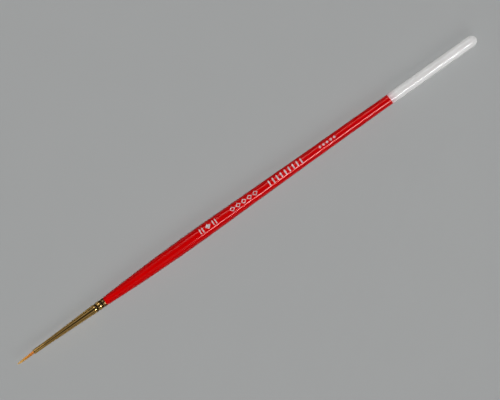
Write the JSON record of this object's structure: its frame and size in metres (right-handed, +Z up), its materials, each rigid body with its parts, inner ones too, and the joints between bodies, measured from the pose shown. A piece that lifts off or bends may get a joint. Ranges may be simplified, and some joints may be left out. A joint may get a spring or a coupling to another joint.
{
  "type": "detail paint brush",
  "caption": "Slim short-handled round detail brush with a lacquered wooden handle, a dipped tail, a crimped brass ferrule and a fine pointed tuft of hair that flexes.",
  "frame": {"origin": "on the surface that the brush lies on, under the middle of its length: halfway between the tip of the hairs and the end of the tail, at the underside of the handle's belly", "axes": "+X along the brush towards the tip of its hairs, +Z up, with the foil marks on top and leaning a little towards -Y"},
  "size_m": [0.18, 0.0046, 0.0047],
  "materials": {
    "wood": "matte",
    "undercoat": "satin",
    "red_lacquer": "gloss",
    "white_dip": "gloss",
    "foil": "satin",
    "brass": "polished",
    "glue": "gloss",
    "cement": "gloss",
    "hair": "satin",
    "thread": "matte"
  },
  "bodies": {
    "handle": {"handle_core": "wood", "undercoat": "undercoat", "red_lacquer": "red_lacquer", "tail_dip": "white_dip", "foil_front": "foil", "foil_middle": "foil", "foil_long": "foil", "foil_rear": "foil", "ferrule": "brass", "tenon_glue": "glue", "root_cement": "cement", "hair_roots": "hair", "binding_thread": "thread"},
    "hair_base": {"tuft_base": "hair"},
    "hair_belly": {"tuft_belly": "hair"},
    "hair_taper": {"tuft_taper": "hair"},
    "hair_point": {"tuft_point": "hair"}
  },
  "joints": [
    {"name": "base_bends_up", "type": "hinge", "parent": "handle", "child": "hair_base", "pos_m": [0.08378, 0, 0.00234], "axis": [0, -1, 0], "range_deg": [-30, 30], "stiffness_Nm_per_rad": 0.0002},
    {"name": "belly_bends_sideways", "type": "hinge", "parent": "hair_base", "child": "hair_belly", "pos_m": [0.08473, 0, 0.00234], "axis": [0, 0, 1], "range_deg": [-30, 30], "stiffness_Nm_per_rad": 0.00014},
    {"name": "taper_bends_up", "type": "hinge", "parent": "hair_belly", "child": "hair_taper", "pos_m": [0.08568, 0, 0.00234], "axis": [0, -1, 0], "range_deg": [-30, 30], "stiffness_Nm_per_rad": 0.00008},
    {"name": "point_bends_sideways", "type": "hinge", "parent": "hair_taper", "child": "hair_point", "pos_m": [0.08663, 0, 0.00234], "axis": [0, 0, 1], "range_deg": [-30, 30], "stiffness_Nm_per_rad": 0.00004}
  ]
}
